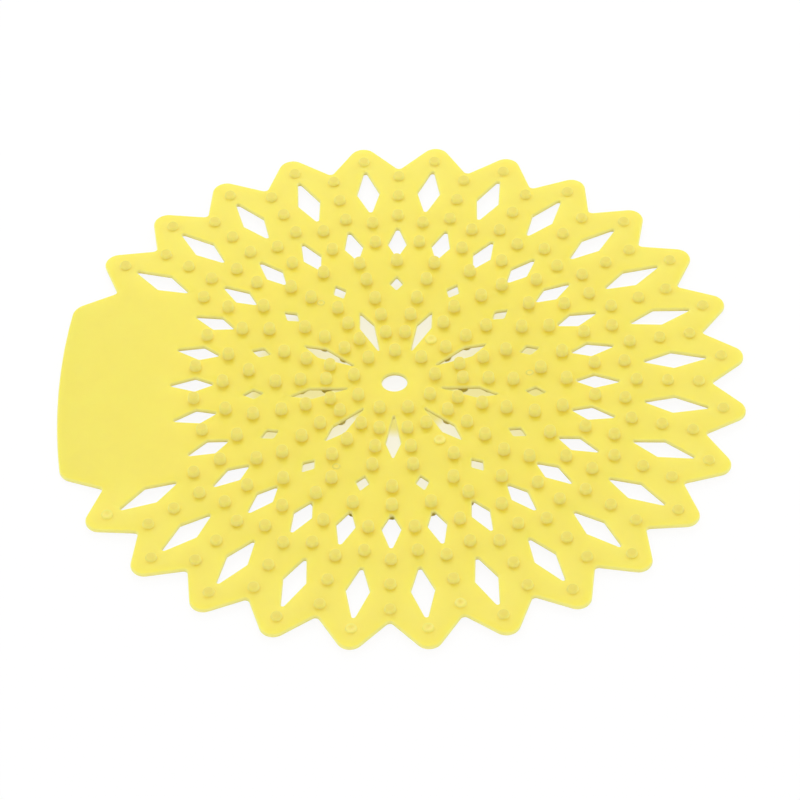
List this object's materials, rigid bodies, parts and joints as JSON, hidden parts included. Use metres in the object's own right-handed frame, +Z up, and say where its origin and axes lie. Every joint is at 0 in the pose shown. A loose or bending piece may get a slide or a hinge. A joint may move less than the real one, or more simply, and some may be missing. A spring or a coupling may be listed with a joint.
{
  "type": "urinal deodorizer screen",
  "caption": "Flat round deodorizer screen for a urinal, moulded in one piece with pointed petals, a plain lifting tab, kite-shaped drain holes and short studs on both faces.",
  "frame": {"origin": "under the middle of the footprint, at the level that the ends of the lower studs stand on", "axes": "+Z up out of the upper face, -X towards the lifting tab, +Y across the tab"},
  "size_m": [0.185, 0.1882, 0.0064],
  "materials": {
    "scented_eva": "translucent yellow, soft satin as moulded"
  },
  "bodies": {
    "root": {"deodorizer_screen": "scented_eva"}
  },
  "joints": []
}
